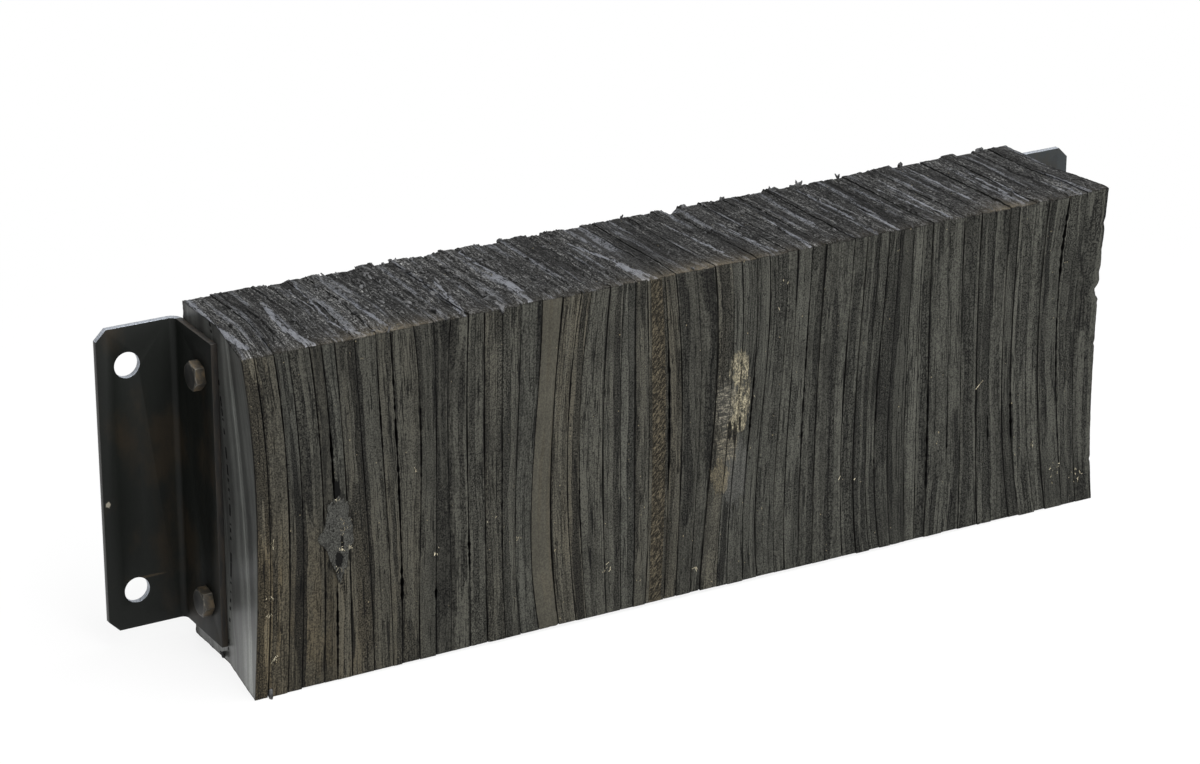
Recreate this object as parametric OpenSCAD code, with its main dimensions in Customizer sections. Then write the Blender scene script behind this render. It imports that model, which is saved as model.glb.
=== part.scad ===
// Laminated dock bumper: a stack of rubber plies cut from tyre casings, standing on edge and
// squeezed between two steel angles by two long tie bolts. The wall is the plane y = 0, the plies
// face -Y, X runs along the stack and the origin is the centre of the four wall holes.

/* [Ply stack] */
// Length of the stack between the two angles
stack_length = 695; // [500:1:800]
// Height of the plies
ply_height = 254; // [240:1:320]
// Depth of the plies, from the wall side to the dock side
ply_depth = 123; // [105:1:160]
// Number of plies
ply_count = 56; // [45:1:56]
// How far a ply may be from the mean thickness, as a share of it
ply_spread = 0.33; // [0:0.01:0.4]
// Joint line between neighbouring plies
ply_joint = 0.2; // [0.1:0.05:0.4]
// Mean gap between the wall and the plies
wall_gap = 8; // [6:0.5:16]

/* [Ply shape] */
// How far the left end spreads past its angle at the dock side
left_flare = 11; // [0:0.5:14]
// How far the right end spreads past its angle at the dock side
right_flare = 9.5; // [0:0.5:14]
// Distance along the stack over which the spread fades out
flare_reach = 85; // [60:5:150]
// Share of the seams' wander that is left where the angles squeeze the stack
pinched_wander = 0.3; // [0:0.05:0.6]
// How far the wall side of a ply may be from the mean
back_ragged = 3; // [0:0.25:4]
// How far the top of a ply may be from the mean
top_ragged = 0.5; // [0:0.1:2]
// How far the bottom of a ply may be from the mean
foot_ragged = 0.3; // [0:0.05:0.6]
// How far the dock side of a ply may be from the mean
front_ragged = 0.4; // [0:0.1:1.5]
// Rise of the bottom of the stack at the middle of its length
bottom_arch = 2; // [0:0.25:4]
// Depth of the torn nick in the dock-side edge of the right end ply
nick_depth = 5; // [2:0.5:7]
// Height of that nick above the middle of the stack
nick_height = 45; // [20:1:80]
// How far that nick runs back from the dock side
nick_run = 10; // [4:0.5:20]

/* [Angles] */
// Height of the angles
angle_height = 229; // [210:1:238]
// Thickness of the bent plate
plate_t = 4.8; // [3:0.1:8]
// Width of the wall flange, from the stack to its free edge
flange_w = 64; // [56:0.5:80]
// Depth of the end leg, from the wall to its free edge
end_leg = 66; // [60:0.5:80]
// Inside radius of the bend
bend_r = 4.5; // [3:0.5:8]
// Clipped corners of the wall flange
corner_clip = 8; // [4:0.5:14]
// Diameter of the wall holes
wall_hole_d = 19; // [12:0.5:24]
// Distance of the wall holes from the flange's free edge
wall_hole_inset = 22.5; // [18:0.5:28]
// Distance between the two wall holes of an angle
wall_hole_spacing = 171.5; // [150:0.5:185]

/* [Tie bolts] */
// Diameter of the tie bolts
bolt_d = 12.7; // [10:0.1:16]
// Distance between the two tie bolts
bolt_spacing = 171.5; // [150:0.5:185]
// Distance of the tie bolts from the wall
bolt_depth = 46; // [40:0.5:48]
// Width of the bolt heads and nuts across their flats
hex_af = 19; // [18:0.5:24]
// Thickness of the bolt heads
head_t = 7.9; // [6:0.1:10]
// Thickness of the nuts
nut_t = 11.1; // [8:0.1:14]
// Length of bolt that stands out of the nut
bolt_tail = 7; // [4:0.5:15]
// Chamfer at the tail of the bolts
tail_chamfer = 1.4; // [0.5:0.1:2]
// Gap around the bolts in the holes of the plies and angles
bolt_clearance = 0.8; // [0.3:0.1:1.5]
// Gap between the bolts and the nuts' bores
thread_clearance = 0.15; // [0.1:0.05:0.3]

/* [Hidden] */
$fn = 48;

half = stack_length / 2;
half_height = ply_height / 2;
front_depth = wall_gap + ply_depth;
angle_face = half + plate_t;
bend_outer_r = bend_r + plate_t;
// How far a cut runs past the faces that it opens
past = 1;

// Turn of each bolt head, and of the nut at its other end, lower one first
hex_turns = [38, 45];
// Angle that the corners of a hexagon are cut back by, and the round face left, as a share of its flats
hex_bevel = 30;
hex_face_share = 0.95;

// Run of the seams, read on the dock side at places from 0 at the left end of the stack to 1 at the right:
// the place, how far a seam bows to the right at mid-height, how far its foot lies to the right of its
// head, and how strongly it waves, to the right above the middle and to the left below
seam_runs = [
    [0, 7, 2, 2],
    [0.06, 6, 4, 2],
    [0.13, 0.5, 11, -2],
    [0.16, 3, 2, 0],
    [0.18, 3.5, 0, 6],
    [0.21, -1.5, -4, -4],
    [0.265, -1, 1, 1],
    [0.31, -6.5, -3.5, 7],
    [0.36, -10, -5, -2],
    [0.43, 2, -1, -1],
    [0.48, 6, 3, 3],
    [0.51, 5.5, -11, 4.5],
    [0.58, -2, -6, 8],
    [0.64, -2.5, -7, 0],
    [0.73, -7.5, -1, 5],
    [0.8, 2, 0.5, -4],
    [0.905, -9, 12, 4],
    [0.96, -9.5, 5, -3],
    [1, -5.5, -2, 1.5]
];
// Sway of the seams at mid-depth
seam_sway = 1.2;
// Turn of that sway from one seam to the next
sway_step = 47;
// Number of plies at each end over which the wander fades towards the angle
settled_plies = 4;
ply_seed = 11;
trim_seed = 23;

// Stations at which a ply's faces are set out: shares of its height, and of its free depth
height_stations = [0, 1/7, 2/7, 3/7, 4/7, 5/7, 6/7, 1];
depth_stations = [0, 0.5, 1];

rubber_tones = ["#3b3b39", "#4a4945", "#333434", "#55524c", "#42413e"];
steel_tone = "#4e4f4b";
bolt_tone = "#5a4d3d";

// Thickness of each ply and the place of each seam along the stack, before it wanders
ply_share = [for (r = rands(-1, 1, ply_count, ply_seed)) 1 + ply_spread * r];
seam_share = [for (i = 0, s = 0; i <= ply_count; s = s + (i < ply_count ? ply_share[i] : 0), i = i + 1) s];
seam_x = [for (s = seam_share) -half + stack_length * s / seam_share[ply_count]];
// Uneven trim of each ply, from -1 to 1: its top, its bottom, its wall side and its dock side
trims = [for (k = [0:3]) rands(-1, 1, ply_count, trim_seed + k)];

// One column of the seams' run, at a place from 0 at the left end of the stack to 1 at the right
function run(column, place) = lookup(place, [for (r = seam_runs) [r[0], r[column]]]);

// Share of the free depth: 0 where the angles' end legs squeeze the stack, 1 at the dock side
function freedom(depth) = max(0, (depth - end_leg) / (front_depth - end_leg));

// Share of the wander that a seam keeps, fading to none where an end ply lies against its angle
function looseness(i, depth) =
    let (inner = pinched_wander * min(1, i / settled_plies, (ply_count - i) / settled_plies))
    inner + (1 - inner) * freedom(depth);

// Place of a seam along X, at a depth from the wall and a height from the middle
function seam(i, depth, z) =
    let (
        x = seam_x[i],
        place = (x + half) / stack_length,
        rise = z / half_height,
        bow = run(1, place) * (1 - rise * rise),
        lean = -run(2, place) * rise / 2,
        wave = run(3, place) * rise * (1 - rise * rise),
        sway = seam_sway * sin(sway_step * i) * sin(180 * freedom(depth)),
        flare = right_flare * exp((x - half) / flare_reach) - left_flare * exp((-x - half) / flare_reach)
    )
    x + looseness(i, depth) * (bow + lean + wave) + freedom(depth) * flare + sway;

function two_digits(i) = i < 10 ? str("0", i) : str(i);
function ply_name(i) = str("ply_", two_digits(i));

// Hexagonal prism along +X, its corners cut back at the far end, and at the near end too if asked
module hex_prism(thickness, both_ends = false) {
    face_r = hex_face_share * hex_af / 2;
    rim_r = hex_af / 2 / cos(30) + past;
    drop = (rim_r - face_r) * tan(hex_bevel);
    near = both_ends ? [[face_r, 0], [rim_r, drop]] : [[rim_r, 0]];
    far = [[rim_r, thickness - drop], [face_r, thickness]];
    rotate([0, 90, 0])
        intersection() {
            cylinder(d = hex_af / cos(30), h = thickness, $fn = 6);
            rotate_extrude()
                polygon(concat([[0, 0]], near, far, [[0, thickness]]));
        }
}

// Places a child on each tie bolt's axis, turned as its hexagon is
module at_bolts() {
    for (k = [0, 1])
        translate([0, -bolt_depth, (k - 0.5) * bolt_spacing])
            rotate([hex_turns[k], 0, 0])
                children();
}

// Quarter of the plane with its corner rounded, for the outside and the inside of the bend
module rounded_quadrant(width, depth, radius) {
    translate([radius, 0])
        square([width - radius, depth]);
    translate([0, radius])
        square([width, depth - radius]);
    translate([radius, radius])
        circle(radius);
}

// Section of an angle seen from above, its heel at the origin, the flange along X and the leg along Y
module angle_section() {
    difference() {
        rounded_quadrant(flange_w, end_leg, bend_outer_r);
        translate([plate_t, plate_t])
            rounded_quadrant(flange_w, end_leg, bend_r);
    }
}

module angle_blank() {
    difference() {
        translate([half, 0, -angle_height / 2])
            mirror([0, 1, 0])
                linear_extrude(angle_height)
                    angle_section();
        for (side = [-1, 1]) {
            translate([half + flange_w, -plate_t / 2, side * angle_height / 2])
                rotate([0, 45, 0])
                    cube([corner_clip * sqrt(2), plate_t + 2 * past, corner_clip * sqrt(2)], center = true);
            translate([half + flange_w - wall_hole_inset, past, side * wall_hole_spacing / 2])
                rotate([90, 0, 0])
                    cylinder(d = wall_hole_d, h = plate_t + 2 * past);
            translate([half - past, -bolt_depth, side * bolt_spacing / 2])
                rotate([0, 90, 0])
                    cylinder(d = bolt_d + 2 * bolt_clearance, h = plate_t + 2 * past);
        }
    }
}

module left_angle() {
    color(steel_tone)
        mirror([1, 0, 0])
            angle_blank();
}

module right_angle() {
    color(steel_tone)
        angle_blank();
}

module tie_bolts() {
    shank = 2 * angle_face + nut_t + bolt_tail;
    color(bolt_tone)
        at_bolts() {
            translate([-angle_face, 0, 0])
                rotate([0, 90, 0])
                    rotate_extrude()
                        polygon([
                            [0, 0],
                            [bolt_d / 2, 0],
                            [bolt_d / 2, shank - tail_chamfer],
                            [bolt_d / 2 - tail_chamfer, shank],
                            [0, shank]
                        ]);
            translate([-angle_face, 0, 0])
                mirror([1, 0, 0])
                    hex_prism(head_t);
        }
}

module tie_nuts() {
    color(bolt_tone)
        at_bolts()
            translate([angle_face, 0, 0])
                difference() {
                    hex_prism(nut_t, both_ends = true);
                    translate([-past, 0, 0])
                        rotate([0, 90, 0])
                            cylinder(d = bolt_d + 2 * thread_clearance, h = nut_t + 2 * past);
                }
}

// Slab between two seams, set out at its stations, with its own uneven top, wall side and dock side
module ply_slab(i) {
    mid = (seam_x[i] + seam_x[i + 1]) / 2;
    top = half_height + top_ragged * trims[0][i];
    foot = -half_height + bottom_arch * (1 - pow(mid / half, 2)) + foot_ragged * trims[1][i];
    back = wall_gap + back_ragged * trims[2][i];
    front = front_depth + front_ragged * trims[3][i];
    levels = [for (s = height_stations) s == 0 ? foot : s == 1 ? top : ply_height * (s - 0.5)];
    free = front_depth - end_leg;
    depths = concat([back], [for (s = depth_stations) s == 1 ? front : end_leg + s * free]);
    rows = len(levels) - 1;
    cols = len(depths) - 1;
    joint = ply_joint / 2;

    points = [for (z = levels, d = depths, side = [0, 1])
        [seam(i + side, d, z) + (side == 0 ? joint : -joint), -d, z]];
    function at(row, col, side) = 2 * (row * (cols + 1) + col) + side;
    function panel(a, b, c, d) = [[a, b, c], [a, c, d]];

    sides = [for (r = [0:rows - 1], c = [0:cols - 1])
        each concat(
            panel(at(r, c, 0), at(r + 1, c, 0), at(r + 1, c + 1, 0), at(r, c + 1, 0)),
            panel(at(r, c, 1), at(r, c + 1, 1), at(r + 1, c + 1, 1), at(r + 1, c, 1))
        )];
    edges = [for (r = [0:rows - 1])
        each concat(
            panel(at(r, 0, 1), at(r + 1, 0, 1), at(r + 1, 0, 0), at(r, 0, 0)),
            panel(at(r, cols, 0), at(r + 1, cols, 0), at(r + 1, cols, 1), at(r, cols, 1))
        )];
    ends = [for (c = [0:cols - 1])
        each concat(
            panel(at(0, c, 0), at(0, c + 1, 0), at(0, c + 1, 1), at(0, c, 1)),
            panel(at(rows, c, 0), at(rows, c, 1), at(rows, c + 1, 1), at(rows, c + 1, 0))
        )];
    polyhedron(points, concat(sides, edges, ends), convexity = 4);
}

// Torn nick in the dock-side edge of the right end ply
module edge_nick() {
    x = seam(ply_count, front_depth, nick_height);
    translate([x, -front_depth, nick_height])
        rotate([0, 45, 0])
            cube([nick_depth * sqrt(2), 2 * nick_run, nick_depth * sqrt(2)], center = true);
}

module ply(number) {
    i = number - 1;
    color(rubber_tones[i % len(rubber_tones)])
        difference() {
            ply_slab(i);
            for (side = [-1, 1])
                translate([-half - past, -bolt_depth, side * bolt_spacing / 2])
                    rotate([0, 90, 0])
                        cylinder(d = bolt_d + 2 * bolt_clearance, h = stack_length + 2 * past);
            if (number == ply_count)
                edge_nick();
        }
}

left_angle();
right_angle();
tie_bolts();
tie_nuts();
for (i = [1:ply_count]) ply(i);
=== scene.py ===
"""Looks of a laminated dock bumper: torn rubber plies squeezed between two steel angles, on a pale floor."""
import math
import random

import bmesh
import bpy
import numpy as np
from mathutils import Euler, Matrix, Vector, noise


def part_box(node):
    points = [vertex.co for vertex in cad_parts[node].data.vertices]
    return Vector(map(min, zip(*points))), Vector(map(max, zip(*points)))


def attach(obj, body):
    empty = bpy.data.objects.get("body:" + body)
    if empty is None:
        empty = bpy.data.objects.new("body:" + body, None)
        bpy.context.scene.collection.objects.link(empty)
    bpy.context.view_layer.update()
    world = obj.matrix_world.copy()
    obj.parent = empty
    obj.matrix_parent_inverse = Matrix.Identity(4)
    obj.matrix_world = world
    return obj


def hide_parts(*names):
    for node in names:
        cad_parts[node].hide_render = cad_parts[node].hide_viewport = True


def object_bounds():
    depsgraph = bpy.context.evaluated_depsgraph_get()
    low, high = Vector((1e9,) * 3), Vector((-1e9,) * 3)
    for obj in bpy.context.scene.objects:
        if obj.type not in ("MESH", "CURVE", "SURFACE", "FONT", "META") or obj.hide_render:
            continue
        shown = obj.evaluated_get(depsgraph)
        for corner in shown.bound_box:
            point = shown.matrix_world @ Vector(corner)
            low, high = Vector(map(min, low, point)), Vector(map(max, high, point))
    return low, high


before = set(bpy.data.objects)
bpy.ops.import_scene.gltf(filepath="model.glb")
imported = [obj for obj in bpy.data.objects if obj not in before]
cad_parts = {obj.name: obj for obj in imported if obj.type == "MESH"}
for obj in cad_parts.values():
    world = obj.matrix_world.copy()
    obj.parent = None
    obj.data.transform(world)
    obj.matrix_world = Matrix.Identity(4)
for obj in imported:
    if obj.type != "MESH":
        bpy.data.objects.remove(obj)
cad_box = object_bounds()

MM = 0.001
BODY = "root"

# The view: lens, turn and place of the camera
LENS_MM = 117.755
SENSOR_MM = 36.0
AZIMUTH, ELEVATION, ROLL = math.radians(-29.769), math.radians(21.775), math.radians(0.076)
EYE = Vector((-1.361569, -2.366039, 1.085255))

# Divisions of a ply's rim: across its thickness, up its height and along its depth
RIM_COLUMNS = 9
RIM_ROWS = 200
RIM_STEPS = 90
# Bands of a ply's flat sides, in steps of depth from the front
SIDE_BANDS = (2, 7, 20, 48, 84)
# Corners that a ply's solid has at least, at a depth where its faces are set out
FULL_STATION = 14

# Places and sizes in the tables below are in millimetres

# Open cracks of the front face: place along the stack, upper and lower end, and width
CRACKS = (
    (-291, 67, 8, 2.6), (-249, 127, -53, 1.9), (-236, -38, -88, 2.6), (-213, -68, -83, 2.2),
    (-184, -33, -68, 2.2), (-27, 87, -48, 1.8), (43, 52, -40, 2.2), (88, 95, -70, 1.4),
    (319, 127, 55, 3.6), (208, 2, -98, 1.9), (219, -28, -63, 2.0), (259, -33, -63, 1.6),
    (280, -20, -66, 2.8), (-290, -50, -127, 2.0), (-263, 110, 20, 1.3), (-225, 80, -10, 1.2),
    (-328, 127, 60, 0.9), (-315, 110, -10, 0.9), (-160, 60, -80, 1.0), (-99, 20, -90, 1.1),
    (317, 127, -127, 1.3), (-302, 127, -127, 1.0), (-247, 115, -116, 1.0), (150, 60, -110, 1.0),
    (-60, 100, -40, 0.9),
)
# How far the cracks and the nicks of the last ply reach in from the front face
CRACK_DEPTH = 16 * MM
NICK_DEPTH = 3 * MM
# Nicks in the outer edge of the last ply: height, half length and depth
END_NICKS = (
    (46, 4.5, 5.0), (36, 2, 0.8), (60, 4, 1.4), (78, 6, 1.0), (100, 4, 1.2), (3, 2, 1.0), (-93, 2, 1.0),
)
# Notch in the wall-side top edge: place along the stack, half width and depth
BACK_NOTCH = (45, 7, 8)
# How far a joint's ragged parting reaches in from the rim
PARTING_DEPTH = 5 * MM
# How far each side of a joint leans out to close it under the foot, how high that reaches,
# and the depth behind the front over which it sets in
FOOT_CLOSING = 0.065
FOOT_REACH = 8 * MM
FOOT_START = (4 * MM, 14 * MM)
# Smooth streaks on the torn top, painted with a sheen: two ends along the stack and in depth, and half the
# width
SHEEN_STREAKS = (
    (-344, -12, -350, -62, 3.5), (-350, -62, -348, -112, 4.0), (-301, -40, -309, -90, 2.8),
    (-309, -90, -307, -130, 4.2), (-134, -15, -134, -108, 2.4), (-138, -75, -138, -130, 3.0),
    (-48, -96, -46, -130, 3.6), (-58, -40, -38, -130, 2.4), (-265, -15, -276, -98, 1.6),
    (-276, -98, -267, -130, 2.6), (-247, -45, -246, -122, 1.8), (-178, -60, -190, -130, 2.2),
    (217, -30, 215, -128, 2.0), (286, -45, 281, -128, 1.8), (279, -30, 276, -118, 1.6),
    (292, -60, 288, -125, 1.4), (204, -50, 209, -120, 1.6), (168, -76, 167, -134, 2.0),
    (150, -20, 152, -96, 1.6), (96, -60, 92, -130, 2.2), (60, -50, 66, -125, 1.6),
    (24, -40, 30, -110, 1.6), (120, -30, 122, -90, 1.4), (250, -25, 252, -100, 1.4),
)
# Stretches of the top's front edge with tan dust: middle and half the length
DUSTY = ((-250, 38), (2, 52), (266, 18))
# Places of single plies along the stack, read at the top of the front face
SMOOTH_TAN = -122
COARSE_CORDS = -42
DARK_STOCK = (-307, -210, 181)
# How light and how brown these plies and the left end ply are
STOCK_TONE = {"coarse": 1.06, "plain": 1.02, "dark": 0.68, "end": 1.4}
STOCK_BROWN = {"coarse": 0.4, "plain": 0.45, "end": 0.5}
# Torn patch of the front face: middle and half sizes, along the stack and up, of the spots of each part
CREAM_PATCH = ((33, 44, 8, 13), (34, 20, 7, 19), (31, 2, 8, 7))
LINED_PATCH = ((22, 17, 9, 18),)
SPECKLED_PATCH = ((23, -13, 9, 14),)
GREY_PATCH = ((30, -36, 11, 27),)
TAN_PATCH = ((17, -38, 7, 13),)
# Slits in the patch, darkened with painted shade
PATCH_SLIT_SHADES = ((25, -2, 1.7, 8), (29.5, -6, 1.4, 9), (33.5, 2, 1.2, 6))
# Grey knot of a folded ply in the front face, the painted shade of the parting around it and of the void above
# it, the holes in it, darkened with painted shade, and the flecks on it: middle, half width and half height
KNOT = (-290.5, -19, 11, 31)
KNOT_RIM_SHADE = (-289.5, -16, 10.6, 32)
KNOT_VOID_SHADE = (-291, 17, 2.6, 9)
KNOT_HOLES = ((-290.5, -34, 3.0, 5.4), (-288, -22, 1.1, 6))
KNOT_FLECKS = (-288.5, -20, 4, 16)
# Thickness of the knot, and depth of its middle behind the front face
KNOT_THICKNESS = 8 * MM
KNOT_SUNK = 3.6 * MM
# Scratch and bare speck on the left flange: middle, half width and half height
SCRATCH = (-381, -77, 14, 0.9)
BARE_SPECK = (-408, -16, 1.7, 2.4)
# Loose cord ends on the front face: place along the stack and up, spread and count
CORD_ENDS = (
    (-341, -12, 4, 7), (-345, -53, 4, 6), (-344, -64, 4, 5), (-341, -99, 5, 7), (-77, -89, 5, 6),
    (-3, -107, 3, 5), (318, -95, 7, 9), (342, -104, 7, 12), (296, -70, 2, 5), (-288.5, -14, 2, 7),
    (-289, -27, 2, 8), (-291, -41, 3, 8), (-281, -10, 3, 4), (-282, -27, 3, 4), (-292, 10, 2, 6),
    (-230, 20, 3, 3), (-170, -30, 4, 4), (-150, -50, 4, 4), (128, -60, 20, 4), (60, 100, 20, 3),
    (-215, -45, 3, 4), (36, 20, 9, 12),
)
# One long cord end on the front face: place along the stack and up, length and lean
LONG_CORD = (245, -10, 9, 0.8)
# Tufts along the wall-side top edge and scraps at the lower left corner: place, height and width
TUFTS = (
    (4.7, -10, 127, 4, 2), (32, -10, 126, 4, 2), (55, -10, 126, 4, 7), (90, -10, 127, 4, 4),
    (132, -10, 127, 4.5, 1.6), (158, -10, 127, 5, 3), (193, -10, 127, 4.5, 1.5),
    (-213, -10, 126, 3, 4), (-60, -10, 126, 3, 3), (250, -10, 127, 3, 3), (323, -10, 127, 4, 4),
    (-347, -133, -124, 5, 4), (-349, -60, -123, 5, 3), (-150, -10, 126, 3, 3),
    (-290, -10, 126, 3, 3),
)
CRUMBS = 2400
CRUMB_SIZES = (0.4, 0.5, 0.6, 0.8, 1.1, 1.6)
# Where crumbs lie thickest along the stack: middle and half length
CRUMBLED = (-190, 90)
# Roughness of a ply's rim: shares of ridges, clods and shreds
FRONT_ROUGH = (0.10, 0.18, 0.12)
TOP_ROUGH = (1.15, 0.5, 0.35)
BACK_ROUGH = (0.7, 1.7, 0.7)
FOOT_ROUGH = (0.15, 0.45, 0.25)
# Least and most radius of a ply's corners, at the top and the foot of its front and back
FRONT_TOP_ROUND, BACK_TOP_ROUND = (0.6, 1.8), (0.6, 1.6)
FRONT_FOOT_ROUND, BACK_FOOT_ROUND = (0.4, 1.4), (0.8, 3.2)
# Clearance of the tie bolts in the plies, and the length of bolt that is measured for it
BORE_CLEARANCE = 0.8 * MM
BOLT_TAIL = 12 * MM
# Width of the rounded arrises of the steel
ARRIS = 0.35 * MM

# Strips of stock across the plies, in wide and narrow patches, and threads, to a metre
WIDE_STRIPS, NARROW_STRIPS, THREADS = 170, 270, 620
# Shift of the narrow strips along the stack, and lean of the coarse cords
STRIP_SHIFT = 0.37
CORD_LEAN = 0.62
# Ridge moulded on the flat sides, with a painted highlight along it, in metres: depth at mid height, and lean
RIDGE_DEPTH, RIDGE_LEAN = 0.1045, 0.114
# Row of marks on the left end, in metres: where that end begins, depth at mid height, lean and bow
LEFT_END = -0.335
MARKS_DEPTH, MARKS_LEAN, MARKS_BOW = 0.0789, 0.0351, 1.246
# Colours of the rubber: cut front, brown stock, torn top, flat sides, lighter in part as painted light,
# # painted sheen of smooth streaks, tan dust and a painted edge highlight, and cord flecks
CUT_RUBBER = (0.0490, 0.0490, 0.0415, 1)
BROWN_RUBBER = (0.060, 0.0496, 0.0315, 1)
TORN_RUBBER = (0.0275, 0.0275, 0.0270, 1)
# Lighter than the cut front, in part painted light for the little light the flat sides get
SIDE_RUBBER = (0.061, 0.0635, 0.059, 1)
# Light bluish grey of the painted sheen on the top's smooth streaks
PAINTED_SHEEN_GREY = (0.104, 0.110, 0.125, 1)
# Tan of the dust, also used for a painted highlight along the top's front edge
TAN_DUST_AND_HIGHLIGHT = (0.125, 0.106, 0.076, 1)
CORD_FLECK = (0.26, 0.22, 0.14, 1)
# Colour of the torn patch's grey part, and dark and light colours of its fibres
GREY_RUBBER = (0.066, 0.066, 0.060)
SPECKLED_FIBRE = ((0.035, 0.034, 0.03, 1), (0.22, 0.20, 0.15, 1))
LINED_FIBRE = ((0.040, 0.040, 0.036, 1), (0.27, 0.25, 0.195, 1))
TAN_FIBRE = ((0.045, 0.04, 0.03, 1), (0.17, 0.148, 0.10, 1))
CREAM_FIBRE = ((0.062, 0.058, 0.046, 1), (0.40, 0.36, 0.25, 1))
# Bare and rusty steels: dark and light colour, metal, roughness, and scale of the grain
STEELS = {
    "sheared_edge": ((0.20, 0.215, 0.24), (0.42, 0.45, 0.50), 0.6, 0.35, (900, 900, 120)),
    "worn_bend": ((0.016, 0.016, 0.015), (0.04, 0.039, 0.036), 0.3, 0.35, (120, 120, 30)),
    "rusty_edge": ((0.008, 0.0075, 0.0065), (0.024, 0.018, 0.012), 0.0, 0.5, (300, 300, 40)),
    "bolt_face": ((0.011, 0.0115, 0.0112), (0.026, 0.025, 0.0225), 0.2, 0.4, (130, 130, 130)),
    "bolt_rim": ((0.045, 0.042, 0.035), (0.14, 0.128, 0.105), 0.5, 0.35, (300, 300, 300)),
    "bolt_flat": ((0.020, 0.017, 0.012), (0.080, 0.058, 0.031), 0.0, 0.5, (140, 140, 140)),
}

# The floor, in metres: its width, the distances over which it fades to white, and how white it is up to there
FLOOR_WIDTH = 40
FLOOR_FADE = (0.35, 0.9)
FLOOR_WHITE = 0.85
# The dark card that reflections show, in metres: middle, above the floor, and size
CARD_MIDDLE = Vector((-1.03, 0.03, 0.36))
CARD_SIZE = (1.14, 0.7, 1)
# Strength of the even light from all round
EVEN_LIGHT = 0.35
# Lamps: place, target and width in metres, and power in watts
LAMPS = {
    "overhead": ((0.3, -0.6, 2.2), (0, -0.05, 0), 2.4, 90),
    "front": ((-0.3, -2.9, 1.5), (0, -0.1, 0), 1.6, 50),
}

PLIES = sorted(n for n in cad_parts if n.startswith("ply_"))


# Modelling helpers


def deselect():
    bpy.ops.object.select_all(action="DESELECT")


def pick(kind, test):
    """Selects the edges or faces of the mesh in edit mode that pass a test, and nothing else."""
    bpy.ops.mesh.select_mode(type={"edges": "EDGE", "faces": "FACE"}[kind])
    bpy.ops.mesh.select_all(action="DESELECT")
    mesh = bpy.context.object.data
    shape = bmesh.from_edit_mesh(mesh)
    for item in getattr(shape, kind):
        if test(item):
            item.select_set(True)
    shape.select_flush_mode()
    bmesh.update_edit_mesh(mesh)


def runs_along(axis, test=lambda middle: True):
    """A test for straight edges along one axis, at places that pass a test of their own."""
    def passes(edge):
        start, end = (v.co for v in edge.verts)
        span = end - start
        return span.length - abs(span[axis]) < 1e-6 and test((start + end) / 2)
    return passes


def points_of(mesh):
    flat = np.empty(len(mesh.vertices) * 3)
    mesh.vertices.foreach_get("co", flat)
    return flat.reshape(-1, 3)


def move_points(mesh, points):
    mesh.vertices.foreach_set("co", points.astype(np.float32).ravel())
    mesh.update()


def new_piece(name, mesh):
    piece = bpy.data.objects.new(name, mesh)
    bpy.context.scene.collection.objects.link(piece)
    return piece


def make_active(piece):
    deselect()
    piece.select_set(True)
    bpy.context.view_layer.objects.active = piece


def copy_of_node(node, name):
    """A new piece with a node's mesh, its loose triangles merged."""
    piece = new_piece(name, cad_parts[node].data.copy())
    piece.data.materials.clear()
    make_active(piece)
    bpy.ops.object.mode_set(mode="EDIT")
    bpy.ops.mesh.select_all(action="SELECT")
    bpy.ops.mesh.remove_doubles(threshold=1e-6)
    bpy.ops.mesh.dissolve_limited(angle_limit=math.radians(1))
    bpy.ops.object.mode_set(mode="OBJECT")
    return piece


def finish_with(piece, kind, **settings):
    """Adds a modifier to a piece and applies it."""
    make_active(piece)
    modifier = piece.modifiers.new(kind.title(), kind)
    for name, value in settings.items():
        setattr(modifier, name, value)
    bpy.ops.object.modifier_apply(modifier=modifier.name)


def smooth(piece, degrees):
    make_active(piece)
    bpy.ops.object.shade_smooth_by_angle(angle=math.radians(degrees))


def assign(piece, index, test):
    """Gives one of a piece's materials to the faces that pass a test."""
    make_active(piece)
    bpy.ops.object.mode_set(mode="EDIT")
    pick("faces", test)
    piece.active_material_index = index
    bpy.ops.object.material_slot_assign()
    bpy.ops.object.mode_set(mode="OBJECT")


def take(piece, slot, *materials, node=None):
    """Lets a piece ride on the bumper, with further materials, in place of a node where one is given."""
    for material in materials:
        piece.data.materials.append(material)
    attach(piece, BODY)
    if node:
        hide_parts(node)


def scatter(name, blank, places):
    """One piece made of many copies of a blank, each turned, sized and placed, and the blank removed."""
    shape = points_of(blank.data)
    faces = [tuple(face.vertices) for face in blank.data.polygons]
    points, loops = [], []
    for spot, size, turn in places:
        start = len(points) * len(shape)
        points.append((shape * np.array(size)) @ np.array(Euler(turn).to_matrix()).T + np.array(spot))
        loops.extend(tuple(start + k for k in face) for face in faces)
    mesh = bpy.data.meshes.new(name)
    mesh.from_pydata(np.concatenate(points).tolist(), [], loops)
    bpy.data.objects.remove(blank)
    return new_piece(name, mesh)


def wrinkle(points, scale, octaves=3):
    """Fractal noise, about -1 to 1, at points that are scaled first."""
    return np.array([noise.fractal(Vector(p), 1.0, 2.0, octaves) for p in points * np.array(scale)])


def smooth_step(value, low, high):
    share = np.clip((value - low) / (high - low), 0, 1)
    return share * share * (3 - 2 * share)


# Shader helpers


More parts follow.
